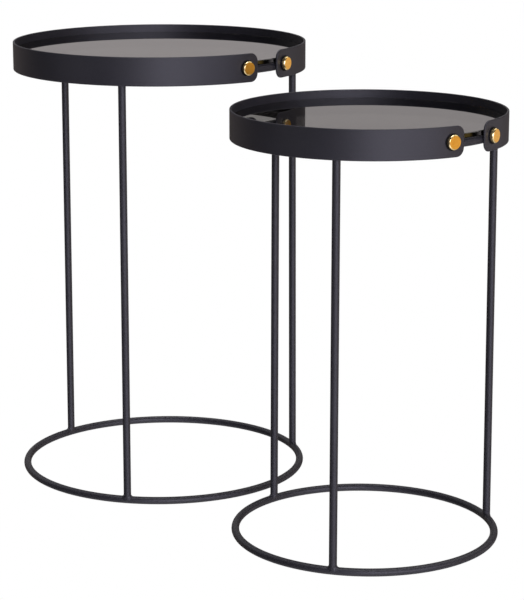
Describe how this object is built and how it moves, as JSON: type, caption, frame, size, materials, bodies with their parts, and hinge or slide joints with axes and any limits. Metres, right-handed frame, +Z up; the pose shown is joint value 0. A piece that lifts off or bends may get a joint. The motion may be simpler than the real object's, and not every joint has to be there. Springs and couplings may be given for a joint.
{
  "type": "nesting tables",
  "caption": "Round black metal side tables of unequal height, with thin legs on a floor ring, a tray rim closed by a brass-studded clasp, and a loose smoked glass top.",
  "frame": {"origin": "on the floor, under the middle of the pair's bounding box", "axes": "+Z up; the tall table stands towards -X and +Y, the short one towards +X and -Y, and both clasps face between +X and -Y"},
  "size_m": [0.6432, 0.6732, 0.6],
  "materials": {
    "black_powder_coat": "charcoal black powder coat, satin, fine texture",
    "smoked_glass": "dark smoked float glass, polished",
    "polished_brass": "warm gold brass, polished edge and fine turned face",
    "black_nylon": "black, matt",
    "zinc_steel": "zinc plated",
    "black_rubber": "black, matt, soft"
  },
  "bodies": {
    "tall_table": {"tall_base_ring": "black_powder_coat", "tall_seat_ring": "black_powder_coat", "tall_tray_band": "black_powder_coat", "tall_leg_right": "black_powder_coat", "tall_leg_back": "black_powder_coat", "tall_leg_left": "black_powder_coat", "tall_glass_gasket": "black_rubber", "tall_clasp_washer_left": "black_nylon", "tall_clasp_washer_right": "black_nylon", "tall_clasp_cap_left": "polished_brass", "tall_clasp_cap_right": "polished_brass", "tall_clasp_screw_left": "zinc_steel", "tall_clasp_screw_right": "zinc_steel"},
    "tall_glass": {"tall_glass_top": "smoked_glass"},
    "short_table": {"short_base_ring": "black_powder_coat", "short_seat_ring": "black_powder_coat", "short_tray_band": "black_powder_coat", "short_leg_right": "black_powder_coat", "short_leg_back": "black_powder_coat", "short_leg_left": "black_powder_coat", "short_glass_gasket": "black_rubber", "short_clasp_washer_left": "black_nylon", "short_clasp_washer_right": "black_nylon", "short_clasp_cap_left": "polished_brass", "short_clasp_cap_right": "polished_brass", "short_clasp_screw_left": "zinc_steel", "short_clasp_screw_right": "zinc_steel"},
    "short_glass": {"short_glass_top": "smoked_glass"}
  },
  "joints": [
    {"name": "tall_glass_lift", "type": "slide", "parent": "tall_table", "child": "tall_glass", "axis": [0, 0, 1], "range_m": [0, 0.08]},
    {"name": "short_table_slide", "type": "slide", "parent": "tall_table", "child": "short_table", "axis": [0.6691, -0.7431, 0], "range_m": [-0.03, 0.3]},
    {"name": "short_glass_lift", "type": "slide", "parent": "short_table", "child": "short_glass", "axis": [0, 0, 1], "range_m": [0, 0.08]}
  ]
}
